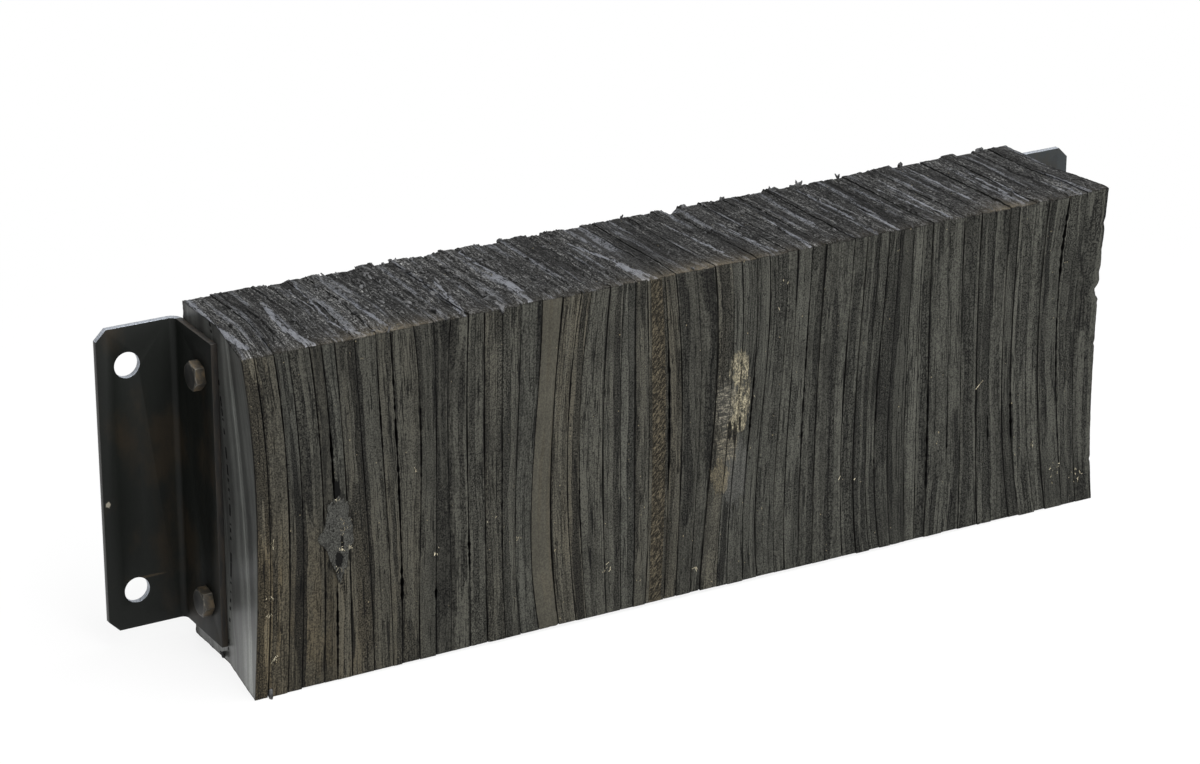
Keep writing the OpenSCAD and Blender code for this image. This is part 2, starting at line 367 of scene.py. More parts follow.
class Shade:
    """A shader value. Arithmetic on it adds Math nodes to its finish."""

    def __init__(self, finish, socket):
        self.finish, self.socket = finish, socket

    def math(self, operation, *values):
        return self.finish.node("ShaderNodeMath", {"operation": operation}, dict(enumerate(values)))

    def __add__(self, other):
        return self.math("ADD", self, other)

    def __sub__(self, other):
        return self.math("SUBTRACT", self, other)

    def __rsub__(self, other):
        return self.math("SUBTRACT", other, self)

    def __mul__(self, other):
        return self.math("MULTIPLY", self, other)

    __radd__, __rmul__ = __add__, __mul__

    def most(self, other):
        return self.math("MAXIMUM", self, other)

    def least(self, other):
        return self.math("MINIMUM", self, other)

    def size(self):
        return self.math("ABSOLUTE", self)

    def toward(self, other, share):
        """The value moved a share of the way to another."""
        return self + (other - self) * share

    def about_one(self, swing):
        """A factor that swings about 1 as the value swings about a half."""
        return (self - 0.5) * swing + 1


class Finish:
    """A material or world, its nodes added one at a time and its surface set at the end."""

    def __init__(self, name, kind="materials"):
        self.owner = getattr(bpy.data, kind).new(name)
        self.owner.use_nodes = True
        self.tree = self.owner.node_tree
        self.tree.nodes.clear()

    def node(self, kind, settings=None, sockets=None, out=0):
        made = self.tree.nodes.new(kind)
        for name, value in (settings or {}).items():
            setattr(made, name, value)
        for name, value in (sockets or {}).items():
            if isinstance(value, Shade):
                self.tree.links.new(value.socket, made.inputs[name])
            else:
                made.inputs[name].default_value = value
        return Shade(self, made.outputs[out]) if made.outputs else None

    def attribute(self, name, out="Color"):
        return self.node("ShaderNodeAttribute", {"attribute_name": name}, out=out)

    def place(self):
        return self.node("ShaderNodeTexCoord", out="Object")

    def seen(self):
        """1 where the camera, a reflection or a clear piece looks, and 0 for the rays that light the object."""
        rays = self.node("ShaderNodeLightPath").socket.node.outputs
        kinds = ("Camera", "Glossy", "Transmission")
        camera, glossy, through = (Shade(self, rays[f"Is {kind} Ray"]) for kind in kinds)
        return camera.most(glossy).most(through)

    def parts(self, colour):
        split = self.node("ShaderNodeSeparateColor", None, {"Color": colour}).socket.node
        return [Shade(self, split.outputs[i]) for i in range(3)]

    def axes(self, vector):
        split = self.node("ShaderNodeSeparateXYZ", None, {"Vector": vector}).socket.node
        return [Shade(self, split.outputs[i]) for i in range(3)]

    def vector(self, operation, first, second, out=0):
        return self.node("ShaderNodeVectorMath", {"operation": operation}, {0: first, 1: second}, out)

    def noise(self, vector, scale, detail=2.0, roughness=0.5):
        stretched = self.vector("MULTIPLY", vector, scale)
        sockets = {"Vector": stretched, "Scale": 1.0, "Detail": detail, "Roughness": roughness}
        return self.node("ShaderNodeTexNoise", None, sockets)

    def strips(self, along, scale):
        """Three random values for each strip of a row of strips of uneven width."""
        sockets = {"W": along, "Scale": scale, "Randomness": 1.0}
        settings = {"voronoi_dimensions": "1D"}
        return self.parts(self.node("ShaderNodeTexVoronoi", settings, sockets, out="Color"))

    def strip_edge(self, along, scale):
        """Distance to the nearest border of the same strips, in strips."""
        sockets = {"W": along, "Scale": scale, "Randomness": 1.0}
        settings = {"voronoi_dimensions": "1D", "feature": "DISTANCE_TO_EDGE"}
        return self.node("ShaderNodeTexVoronoi", settings, sockets, out="Distance")

    def ease(self, value, low, high, start=0.0, end=1.0):
        """A value eased from start to end between two levels."""
        sockets = {"Value": value, "From Min": low, "From Max": high, "To Min": start, "To Max": end}
        return self.node("ShaderNodeMapRange", {"interpolation_type": "SMOOTHSTEP"}, sockets)

    def spot(self, place, spot, ragged, edge=0.12):
        """A spot on the front face or a flange with a ragged outline: 1 inside and 0 outside."""
        x, z, half_width, half_height = (v * MM for v in spot)
        offset = self.vector("SUBTRACT", place, (x, 0, z))
        scaled = self.vector("MULTIPLY", offset, (1 / half_width, 0, 1 / half_height))
        length = self.node("ShaderNodeVectorMath", {"operation": "LENGTH"}, {0: scaled}, out="Value")
        return self.ease(length + ragged, 1 + edge, 1 - edge)

    def spots(self, place, spots, ragged):
        """Several spots taken together."""
        whole, *others = (self.spot(place, spot, ragged) for spot in spots)
        for other in others:
            whole = whole.most(other)
        return whole

    def blend(self, first, second, factor):
        """Two colours mixed by a factor."""
        return self.node("ShaderNodeMix", {"data_type": "RGBA"}, {0: factor, 6: first, 7: second}, out=2)

    def dim(self, colour, factor):
        return self.node("ShaderNodeVectorMath", {"operation": "SCALE"}, {0: colour, "Scale": factor})

    def bump(self, height, depth):
        return self.node("ShaderNodeBump", None, {"Height": height, "Distance": depth, "Strength": 1.0})

    def surface(self, **sockets):
        """Ends the finish in one shader, its sockets named with underscores for spaces."""
        named = {name.replace("_", " "): value for name, value in sockets.items()}
        shader = self.node("ShaderNodeBsdfPrincipled", None, named)
        self.node("ShaderNodeOutputMaterial", None, {"Surface": shader})
        return self.owner


# Finishes


def fibre_patch(f, place, front, grit, hair, colour):
    """The colour with the torn patch painted over it, the patch's relief, and the share where that counts."""
    weave = f.ease(f.noise(place, (1300, 1300, 640), 3.0, 0.8), 0.36, 0.58)
    rows = f.ease(f.noise(place, (130, 130, 700), 2.0, 0.6), 0.43, 0.57)
    frayed = (f.noise(place, (420, 420, 75), 4.0, 0.75) - 0.5) * 2.2
    parts = (CREAM_PATCH, LINED_PATCH, SPECKLED_PATCH, GREY_PATCH, TAN_PATCH)
    cream, lined, speckled, grey, tan = (f.spots(place, part, frayed) * front for part in parts)
    cream = cream * f.ease(f.noise(place, (330, 330, 150), 4.0, 0.8), 0.39, 0.51)
    tan = tan * (0.3 + 0.7 * weave)
    whole = cream.most(lined).most(speckled).most(grey).most(tan)
    colour = f.blend(colour, f.dim(GREY_RUBBER, grit.about_one(1.0) * hair.about_one(1.0)), grey * 0.85)
    for fibre, share, part in (
        (SPECKLED_FIBRE, weave * (0.25 + 0.75 * rows), speckled),
        (LINED_FIBRE, weave * (0.15 + 0.85 * rows), lined),
        (TAN_FIBRE, weave, tan),
        (CREAM_FIBRE, weave, cream),
    ):
        colour = f.blend(colour, f.blend(*fibre, share), part)
    return colour, 0.8 * weave + 0.3 * rows, whole * (1 - grey * 0.8)


def rubber_finish():
    """Cut and torn tyre rubber: stock strips, hairlines, crumbs, dust, painted highlights and painted shade in
    cracks.
    """
    f = Finish("tyre_rubber")
    lay, place = f.attribute("lay", "Vector"), f.place()
    tone, brown, coarse = f.parts(f.attribute("ply_tone"))
    plain = f.attribute("ply_tone", "Alpha")
    # Torn surface, tan dust with a painted edge highlight, and painted shade in the cracks
    torn, dust_and_highlight, dark = f.parts(f.attribute("ply_wear_and_light"))
    side = f.attribute("ply_wear_and_light", "Alpha")
    sheen = f.attribute("ply_sheen", "Fac")
    edge = f.attribute("ply_edge", "Fac")
    front = (1 - torn) * (1 - side)
    varied = 1 - plain

    # Grain that all the surfaces share, and strips of stock across each ply
    speckle = f.noise(lay, (900, 900, 760), 2.0, 0.7)
    grit = f.ease(f.noise(lay, (900, 900, 800), 2.0, 0.75), 0.35, 0.65)
    hair = f.noise(lay, (1300, 40, 22), 2.0, 0.6)
    dash = f.noise(lay, (1000, 320, 110), 2.0, 0.6)
    cloud = f.ease(f.noise(lay, (30, 30, 16), 3.0, 0.6), 0.3, 0.7)
    waver = f.noise(lay, (22, 16, 12), 3.0, 0.55)
    along, depth, height_up = f.axes(lay)
    drift = along + (waver - 0.5) * 0.010 + (dash - 0.5) * 0.0010
    shifted = drift + STRIP_SHIFT
    patchy = f.ease(f.noise(lay, (45, 7, 6), 2.0), 0.46, 0.54)
    strips = zip(f.strips(drift, WIDE_STRIPS), f.strips(shifted, NARROW_STRIPS))
    stock = [wide.toward(narrow, patchy) for wide, narrow in strips]
    stock[0] = stock[0].toward(0.5, 0.8 * plain)
    thread = f.strips(drift, THREADS)

    # The cut front: sleek and granular stock with creases, gashes, splits and pits, darkened with painted shade
    wide_crease = f.ease(f.strip_edge(drift, WIDE_STRIPS), 0.06, 0.015)
    narrow_crease = f.ease(f.strip_edge(shifted, NARROW_STRIPS), 0.095, 0.02)
    crease = wide_crease.toward(narrow_crease, patchy) * varied
    crease = crease * f.ease(f.noise(lay, (200, 20, 14), 3.0, 0.6), 0.44, 0.54)
    gash = f.ease(f.noise(lay, (430, 34, 17), 3.0, 0.65), 0.63, 0.68) * varied
    pits = f.ease(f.noise(lay, (520, 520, 240), 2.0, 0.6), 0.66, 0.72) * varied
    parted = f.noise(lay, (300, 14, 7), 3.0, 0.6) - 0.5
    split = f.ease(parted.size(), 0.018, 0.004) * f.ease(cloud, 0.35, 0.6) * varied
    salt = f.ease(speckle, 0.62, 0.72)
    granular = f.ease(stock[1] + (cloud - 0.5) * 0.25, 0.58, 0.66) * varied
    sleek = (0.74 + 0.48 * stock[0]) * hair.about_one(0.6 - 0.4 * plain) * grit.about_one(1.16 - 0.7 * plain)
    # Painted shade in the dark dashes
    sleek = sleek * thread[0].about_one(0.32 - 0.2 * plain) * (1 - 0.5 * f.ease(dash, 0.58, 0.68) * varied)
    grainy = (0.3 + 0.3 * stock[0]) * grit.about_one(1.8) * dash.about_one(0.8) + 0.8 * salt
    cut = sleek.toward(grainy, granular) + 0.25 * salt * (1 - 0.7 * plain)
    # Painted shade in the pits, splits, creases and gashes
    cut = cut * (1 - 0.75 * pits) * (1 - 0.85 * split.most(crease).most(gash))
    cut = (cut * cloud.about_one(0.8 - 0.5 * plain)).least(1.35)

    # Dark joints between plies, added to the painted shade in the cracks, and painted shade in the parting and
    # void at the knot
    ragged_edge = edge - 0.0011 * (f.noise(lay, (60, 480, 480), 3.0, 0.7) - 0.5)
    line = f.ease(ragged_edge, 0.0004, 0.0) * f.ease(f.noise(lay, (220, 18, 16), 2.0), 0.34, 0.50)
    dark = dark.most(0.92 * line * (1 - side) * (1 - 0.8 * torn))
    ragged = (f.noise(place, (170, 170, 120), 4.0, 0.7) - 0.5) * 1.3
    # Painted shade in the parting around the knot and in the void above it
    rim = 0.45 * f.spot(place, KNOT_RIM_SHADE, ragged, 0.1)
    dark = dark.most(front * rim.most(f.spot(place, KNOT_VOID_SHADE, ragged, 0.06)))

    # The coarse ply's leaning cords
    sockets = {"Vector": lay, "Rotation": (0, CORD_LEAN, 0)}
    turned = f.node("ShaderNodeMapping", {"vector_type": "TEXTURE"}, sockets)
    slash = f.noise(turned, (330, 330, 70), 2.0, 0.6) - 0.5
    cords = f.ease(f.noise(turned, (640, 640, 230), 3.0, 0.7), 0.38, 0.56)
    cords = cords * (1 - f.ease(slash.size(), 0.03, 0.01))
    coarse = coarse * f.ease(ragged_edge, 0.0019, 0.0029)

    # The torn top and back, with smooth streaks and patches that are glossy and get a painted sheen
    chunk = f.noise(lay, (640, 90, 150), 4.0, 0.72)
    bits = f.ease(f.noise(lay, (1050, 430, 700), 2.0, 0.7), 0.39, 0.61)
    ripped = f.ease(chunk, 0.36, 0.66).about_one(1.8) * stock[0].about_one(1.0) * bits.about_one(1.88)
    ripped = ripped * thread[1].about_one(1.3) * cloud.about_one(0.8) * f.ease(along, -0.08, -0.24, 1.0, 1.6)
    # Random glossy patches, also given a painted sheen
    random_sheen = f.ease(f.noise(lay, (170, 9, 9), 2.0), 0.55, 0.66) * f.ease(0.3 * grit + chunk, 0.5, 0.74)
    streak_sheen = f.ease(sheen + 2.4 * (chunk - 0.5) + 0.3 * (bits - 0.5), 0.55, 1.0)
    gloss_and_sheen = (0.8 * random_sheen).most(streak_sheen) * torn

    # The smooth flat sides, with moulded bands that are partly painted highlights, a ridge with a painted
    # highlight,
    # # a painted highlight towards the front edge, lighter towards the foot, and a row of marks on the left end
    tilt = depth + RIDGE_DEPTH - RIDGE_LEAN * height_up
    ridge_and_highlight = f.ease((tilt + 0.002 * (waver - 0.5)).size(), 0.0020, 0.0007)
    sockets = {"W": tilt + 0.012 * waver, "Scale": 95.0, "Detail": 3.0}
    bands = f.node("ShaderNodeTexNoise", {"noise_dimensions": "1D"}, sockets)
    side_bands_and_light = f.ease(bands, 0.36, 0.64, 0.52, 1.42) * cloud.about_one(0.52) * grit.about_one(0.3)
    # Painted highlight towards the front edge, and lighter towards the foot
    side_bands_and_light = side_bands_and_light * f.ease(tilt, 0.045, -0.012, 0.76, 1.18) * f.ease(height_up, -0.070, -0.098, 1.0, 2.25)
    # Painted highlight along the ridge
    side_bands_and_light = side_bands_and_light + 1.2 * ridge_and_highlight
    row = depth + MARKS_DEPTH - (MARKS_LEAN + MARKS_BOW * height_up) * height_up
    dots = f.ease(f.noise(lay, (1, 1, 210), 1.0), 0.49, 0.55) * f.ease(row.size(), 0.0017, 0.0011)
    dots = dots * side * f.ease(along, LEFT_END, LEFT_END - 3 * MM)
    sleeked = side * (1 - dots)

    # All of them together: how light, which colour and how high
    grain = cut.toward(ripped, torn).toward((0.2 + cords) * grit.about_one(1.0), coarse)
    # Darker with the painted shade in the cracks and with the dark joints
    value = grain.toward(side_bands_and_light, side) * tone.toward(1, side) * (1 - 0.93 * dark)
    rusty = f.ease(stock[2] + (cloud - 0.5) * 0.8, 0.5, 0.8)
    colour = f.blend(CUT_RUBBER, BROWN_RUBBER, (brown * (0.7 + 0.3 * rusty)).most(0.85 * coarse))
    colour = f.blend(f.blend(colour, TORN_RUBBER, torn), SIDE_RUBBER, side)
    # Painted sheen on the smooth streaks and patches of the top
    colour = f.blend(f.dim(colour, value), PAINTED_SHEEN_GREY, gloss_and_sheen)
    # Tan dust, and a painted highlight all along the top's front edge
    colour = f.blend(colour, TAN_DUST_AND_HIGHLIGHT, dust_and_highlight * (0.3 + 0.7 * grit))
    fleck = f.ease(f.noise(lay, (520, 520, 330), 1.0), 0.775, 0.80)
    colour = f.blend(colour, CORD_FLECK, fleck * 0.8 * (1 - side))
    colour, fibres, fibrous = fibre_patch(f, place, front, grit, hair, colour)
    # Painted shade in the patch's slits and in the cracks, and the row of marks, darken the colour
    slit_shade = f.spots(place, PATCH_SLIT_SHADES, ragged) * front
    colour = f.dim(colour, (1 - 0.9 * dark.most(slit_shade)) * (1 - 0.95 * dots))
    face = 0.15 * hair + granular * (0.22 * grit + 0.12 * speckle) + 0.05 * grit
    face = face - 0.5 * (pits + split.most(gash))
    face = face.toward(0.9 * cords, coarse).toward(fibres, fibrous)
    height = face.toward(1.7 * chunk + 0.5 * bits, torn * (1 - 0.7 * gloss_and_sheen))
    height = height.toward(0.25 * f.noise(lay, (40, 420, 4), 2.0) + 0.6 * ridge_and_highlight, side)
    return f.surface(Base_Color=colour, Roughness=0.82 - 0.3 * gloss_and_sheen - 0.25 * sleeked,
                     Specular_IOR_Level=0.16, Coat_Weight=0.45 * sleeked + 0.5 * gloss_and_sheen,
                     Coat_Roughness=0.28, Normal=f.bump(height, 1.0 * MM))


def knot_finish():
    """Plain grey rubber of a folded ply, with pits and holes darkened with painted shade, and pale flecks."""
    f = Finish("knot_rubber")
    place = f.place()
    grit = f.ease(f.noise(place, (1000, 1000, 900), 1.0, 0.7), 0.3, 0.7, 0.2, 0.8)
    ragged = (f.noise(place, (400, 400, 400), 3.0, 0.7) - 0.5) * 1.2
    pits = f.ease(f.noise(place, (240, 240, 150), 2.0, 0.6), 0.64, 0.7)
    hole = f.spots(place, KNOT_HOLES, ragged)
    # Painted shade in the pits and holes
    colour = f.dim((0.042, 0.042, 0.0375), grit.about_one(1.8) * (1 - 0.7 * pits) * (1 - 0.95 * hole))
    fleck = f.ease(f.noise(place, (620, 620, 420), 2.0), 0.66, 0.7)
    colour = f.blend(colour, (0.30, 0.26, 0.17, 1), 0.85 * fleck * f.spot(place, KNOT_FLECKS, ragged))
    return f.surface(Base_Color=colour, Roughness=0.82, Specular_IOR_Level=0.16,
                     Normal=f.bump(grit - pits - hole, 0.6 * MM))


def scale_finish():
    """Dark mill scale on bent steel plate, with brown stains, rubbed streaks, a scratch and a bare speck."""
    f = Finish("mill_scale")
    place = f.place()
    stain = f.ease(f.noise(place, (26, 26, 16), 4.0, 0.6), 0.48, 0.7)
    rub = f.noise(place, (60, 60, 9), 3.0, 0.6)
    fine = f.noise(place, (900, 900, 900), 2.0)
    ragged = (fine - 0.5) * 1.2
    along, depth, _ = f.axes(place)
    paler = f.ease(along, 0.3, 0.36)
    facing = f.ease(depth, -0.002, -0.004)
    clean = f.blend((0.0070, 0.0080, 0.0070, 1), (0.029, 0.033, 0.035, 1), paler)
    stained = f.blend((0.0165, 0.0130, 0.0085, 1), (0.036, 0.0315, 0.0245, 1), paler)
    colour = f.dim(f.blend(clean, stained, stain), 0.55 + 0.5 * rub + 0.35 * fine)
    colour = f.blend(colour, (0.05, 0.038, 0.024, 1), 0.6 * facing * f.spot(place, SCRATCH, ragged))
    colour = f.blend(colour, (0.22, 0.20, 0.16, 1), facing * f.spot(place, BARE_SPECK, ragged))
    return f.surface(Base_Color=colour, Roughness=0.4 + 0.2 * rub, Specular_IOR_Level=0.14,
                     Normal=f.bump(0.6 * fine + rub, 0.12 * MM))


def worn_finish(name, dark, light, metal, roughness, scale):
    """Bare or rusty steel that varies between two colours."""
    f = Finish(name)
    place = f.place()
    drag = f.noise(place, scale, 3.0, 0.65)
    fine = f.noise(place, (1300, 1300, 1300), 2.0)
    colour = f.dim(f.blend((*dark, 1), (*light, 1), f.ease(drag, 0.38, 0.64)), 0.65 + 0.7 * fine)
    return f.surface(Base_Color=colour, Metallic=metal, Roughness=roughness + 0.2 * drag,
                     Normal=f.bump(drag + 0.6 * fine, 0.15 * MM))


def cord_finish():
    """Cream tyre cord, greyed with dirt."""
    f = Finish("tyre_cord")
    place = f.place()
    dirt = f.noise(place, (300, 300, 300), 3.0, 0.6)
    colour = f.blend((0.54, 0.49, 0.36, 1), (0.13, 0.115, 0.08, 1), f.ease(dirt, 0.38, 0.6))
    return f.surface(Base_Color=colour, Roughness=0.85, Specular_IOR_Level=0.2)


def crumb_finish():
    """Torn rubber crumbs, grey to black."""
    f = Finish("rubber_crumb")
    place = f.place()
    shade = f.ease(f.noise(place, (190, 60, 190), 3.0, 0.7), 0.36, 0.66)
    colour = f.blend((0.012, 0.012, 0.012, 1), (0.095, 0.096, 0.098, 1), shade)
    return f.surface(Base_Color=colour, Roughness=0.65, Specular_IOR_Level=0.3)


# Plies


def ply_blank():
    """A unit slab with a finely divided rim and flat sides in a few bands, made once for all plies."""
    deselect()
    bpy.ops.mesh.primitive_cube_add(size=1, location=(0.5, 0.5, 0.5))
    blank = bpy.context.object
    bpy.ops.object.transform_apply()
    bpy.ops.object.mode_set(mode="EDIT")
    pick("edges", runs_along(0))
    bpy.ops.mesh.subdivide(number_cuts=RIM_COLUMNS - 1)
    for cuts in (RIM_ROWS // 2 - 1, 1):
        pick("edges", runs_along(2))
        bpy.ops.mesh.subdivide(number_cuts=cuts)
    pick("edges", runs_along(1, lambda middle: min(middle.z, 1 - middle.z) < 1e-5))
    bpy.ops.mesh.subdivide(number_cuts=RIM_STEPS - 1)
    for band in SIDE_BANDS:
        pick("faces", lambda face: abs(face.normal.x) > 0.9)
        bpy.ops.mesh.bisect(plane_co=(0, band / RIM_STEPS, 0), plane_no=(0, 1, 0), threshold=1e-4)
    bpy.ops.object.mode_set(mode="OBJECT")
    return blank


class Seams:
    """The two faces of a ply, read from its solid: where they lie at any depth and height."""

    def __init__(self, node):
        points = np.unique(points_of(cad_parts[node].data).round(5), axis=0)
        depths, counts = np.unique(points[:, 1], return_counts=True)
        self.front, self.middle, self.pinch = sorted(depths[counts >= FULL_STATION])[:3]
        self.back = points[:, 1].max()
        self.foot, self.top = points[:, 2].min(), points[:, 2].max()
        levels = np.unique(points[points[:, 1] == self.middle][:, 2])
        self.curves = [[self.curve(points, y, levels, side) for y in (self.pinch, self.middle, self.front)]
                       for side in (np.min, np.max)]

    @staticmethod
    def curve(points, y, levels, side):
        """A face's run up the ply at one depth, from the levels where both faces have a corner."""
        rows = [points[(points[:, 1] == y) & (points[:, 2] == z)] for z in levels]
        both = [row for row in rows if len(row) == 2]
        return np.polyfit([row[0, 2] for row in both], [side(row[:, 0]) for row in both], 3)

    def at(self, side, y, z):
        """Place along the stack of the left (0) or right (1) face."""
        pinch, middle, front = (np.polyval(c, z) for c in self.curves[side])
        free = np.clip((y - self.pinch) / (self.front - self.pinch), 0, 1)
        return pinch + (front - pinch) * free + (middle - (pinch + front) / 2) * np.sin(math.pi * free)

    def inset(self, y, z):
        """Distance in from the nearest of the ply's four rim surfaces."""
        return np.minimum.reduce([y - self.front, self.back - y, self.top - z, z - self.foot]).clip(0)


def joint_opening(joint, cracks, seams, y, z):
    """Half the opening of a joint: a ragged parting at the rim, and cracks deeper into the front face."""
    place = np.stack([np.full_like(y, 17.3 * joint), y, z], 1)
    parting = np.clip(wrinkle(place, (1, 15, 15), 2) + 0.1, 0, 1)
    jag = wrinkle(place, (1, 230, 230), 3)
    at_top = z > seams.top - 3 * MM
    closed = np.exp((seams.foot - z) / FOOT_REACH) * smooth_step(y - seams.front, *FOOT_START)
    share = np.where(at_top, 0.45, 1.0) * (1 - closed) * np.exp(-seams.inset(y, z) / PARTING_DEPTH)
    opening = share * (0.03 + 0.34 * parting + 0.16 * np.abs(jag))
    for high, low, width in cracks:
        share = np.clip((z / MM - low) / (high - low), 0, 1)
        split = 0.36 * width * np.sin(math.pi * share) ** 0.6 * np.clip(0.8 + 1.1 * jag, 0.15, 1.6)
        opening = np.maximum(opening, split * np.exp((seams.front - y) / CRACK_DEPTH))
    for height, half, deep in END_NICKS if joint == len(PLIES) else ():
        nick = deep * np.exp(-((z / MM - height) / half) ** 2) * (1 + 0.4 * jag)
        opening = np.maximum(opening, nick * np.exp((seams.front - y) / NICK_DEPTH))
    return (opening - FOOT_CLOSING * closed) * MM


def round_corner(y, z, corner_y, corner_z, into_y, into_z, radius):
    """Moves points that lie outside a rounded corner of the rim onto it."""
    down = radius - (y - corner_y) * into_y
    across = radius - (z - corner_z) * into_z
    reach = np.hypot(down, across)
    near = (down > 0) & (across > 0) & (reach > radius)
    pull = np.where(near, radius / np.maximum(reach, 1e-9), 1)
    y = np.where(near, corner_y + into_y * (radius - down * pull), y)
    z = np.where(near, corner_z + into_z * (radius - across * pull), z)
    return y, z


def paint(mesh, name, kind, values):
    layer = mesh.attributes.new(name, kind, "POINT")
    field = {"FLOAT_VECTOR": "vector", "FLOAT_COLOR": "color", "FLOAT": "value"}[kind]
    layer.data.foreach_set(field, values.astype(np.float32).ravel())


def fit_ply(number, blank, seams, left_cracks, right_cracks, stock):
    """A ply: the blank fitted between its seams, its rim roughened, torn, and painted with wear and painted
    light.
    """
    draw = random.Random(100 + number)
    mesh = blank.data.copy()
    share = points_of(mesh)
    across = 0.5 - 0.5 * np.cos(math.pi * share[:, 0])
    on_front, on_back = share[:, 1] < 1e-5, share[:, 1] > 1 - 1e-5
    on_foot, on_top = share[:, 2] < 1e-5, share[:, 2] > 1 - 1e-5
    rim = on_front | on_back | on_foot | on_top
    y = seams.front + (seams.back - seams.front) * share[:, 1]
    z = seams.foot + (seams.top - seams.foot) * share[:, 2]

    home = [np.polyval(curves[0], 0) for curves in seams.curves]
    middle = home[0] + (home[1] - home[0]) * across
    lay = np.stack([middle, y, z], 1)
    left_gap = joint_opening(number - 1, left_cracks, seams, y, z)
    right_gap = joint_opening(number, right_cracks, seams, y, z)

    ridge = wrinkle(lay, (430, 12, 12), 3)
    clod = wrinkle(lay, (150, 110, 110), 4)
    shred = wrinkle(lay - number, (480, 300, 300), 2)
    relief = np.stack([ridge, clod, shred], 1)
    edge = np.abs(2 * across - 1) ** 9
    groove = edge * (0.1 + 1.3 * np.maximum(left_gap * (across < 0.5), right_gap * (across > 0.5)) / MM)
    y = y + on_front * (relief @ np.array(FRONT_ROUGH) + 0.25 * edge) * MM
    z = z + on_top * (relief @ np.array(TOP_ROUGH) - groove) * MM
    y = y + on_back * (relief @ np.array(BACK_ROUGH)) * MM
    z = z + on_foot * (relief @ np.array(FOOT_ROUGH) + 0.2 * edge) * MM
    for corner_y, corner_z, into_y, into_z, size in (
        (seams.front, seams.top, 1, -1, FRONT_TOP_ROUND), (seams.back, seams.top, -1, -1, BACK_TOP_ROUND),
        (seams.front, seams.foot, 1, 1, FRONT_FOOT_ROUND), (seams.back, seams.foot, -1, 1, BACK_FOOT_ROUND),
    ):
        y, z = round_corner(y, z, corner_y, corner_z, into_y, into_z, draw.uniform(*size) * MM)

    z = np.maximum(z, cad_box[0].z + 0.05 * MM)
    place, half, deep = (v * MM for v in BACK_NOTCH)
    notch = deep * np.clip(1 - np.abs(middle - place) / half, 0, 1)
    notch = notch * smooth_step(y, seams.back - 2 * deep, seams.back)
    z = z - notch * smooth_step(z, seams.top - 2 * deep, seams.top)
    left = seams.at(0, y, z) + left_gap
    right = seams.at(1, y, z) - right_gap
    x = left + (right - left) * across
    points = np.stack([x, y, z], 1)
    move_points(mesh, points)

    torn = np.maximum(on_top, on_back).astype(float)
    # Painted shade on the edges of the open cracks, not on the outer faces of the end plies
    left_shadow = left_gap * (across < 0.01) * (number > 1)
    right_shadow = right_gap * (across > 0.99) * (number < len(PLIES))
    dark = smooth_step(np.maximum(left_shadow, right_shadow), 0.0, 0.5 * MM)
    paint(mesh, "lay", "FLOAT_VECTOR", lay)
    paint(mesh, "ply_edge", "FLOAT", np.minimum(x - left, right - x))
    paint_wear_and_light(mesh, seams, x, y, torn, dark, ~rim)
    paint_tone(mesh, draw, stock, x, z)

    piece = new_piece(f"rubber_ply_{number:02d}", mesh)
    smooth(piece, 50)
    return piece, points[on_top & ~on_front]


def paint_wear_and_light(mesh, seams, x, y, torn, dark, side):
    """Red: torn surface. Green: tan dust, and a painted highlight along the top's front edge.
    Blue: painted shade in open cracks. Alpha: flat side. Apart: painted sheen of smooth streaks on top.
    """
    near_front = np.exp((seams.front - y) / (8 * MM)) * torn
    # A painted highlight all along the top's front edge, with tan dust over the dusty stretches
    dust_and_highlight_share = 0.15 + sum(np.exp(-((x / MM - middle) / half) ** 2) for middle, half in DUSTY)
    paint(mesh, "ply_wear_and_light", "FLOAT_COLOR", np.stack([torn, near_front * dust_and_highlight_share, dark, side], 1))
    # Painted sheen along the smooth streaks of the top
    sheen = np.zeros_like(x)
    for x0, y0, x1, y1, half in SHEEN_STREAKS:
        run = np.array([x1 - x0, y1 - y0], float)
        offset = np.stack([x / MM - x0, y / MM - y0], 1)
        share = np.clip(offset @ run / (run @ run), 0, 1)
        away = np.hypot(*(offset - share[:, None] * run).T)
        wide = half * (0.6 + 0.4 * np.sqrt(share))
        sheen = np.maximum(sheen, smooth_step(-away, -wide - 1, -wide + 1))
    paint(mesh, "ply_sheen", "FLOAT", sheen * torn)


def paint_tone(mesh, draw, stock, x, z):
    """Red: how light the ply is. Green: how brown. Blue: coarse cords. Alpha: plain stock without strips."""
    tone = draw.uniform(0.86, 1.13)
    brown = draw.choice((0.0, 0.1, 0.2, 0.4))
    tone, brown = STOCK_TONE.get(stock, tone), STOCK_BROWN.get(stock, brown)
    coarse, plain = stock == "coarse", stock == "plain"
    lower_left = smooth_step(-x / MM, 200, 350) * smooth_step(-z / MM, -60, 90)
    upper_left = smooth_step(-x / MM, 130, 230) * smooth_step(z / MM, -80, 60)
    brownness = np.clip(brown * smooth_step(-x / MM, -140, 60) + 0.9 * lower_left, 0, 1)
    lightness, ones = tone * (1 - 0.1 * upper_left), np.ones_like(x)
    paint(mesh, "ply_tone", "FLOAT_COLOR", np.stack([lightness, brownness, coarse * ones, plain * ones], 1))


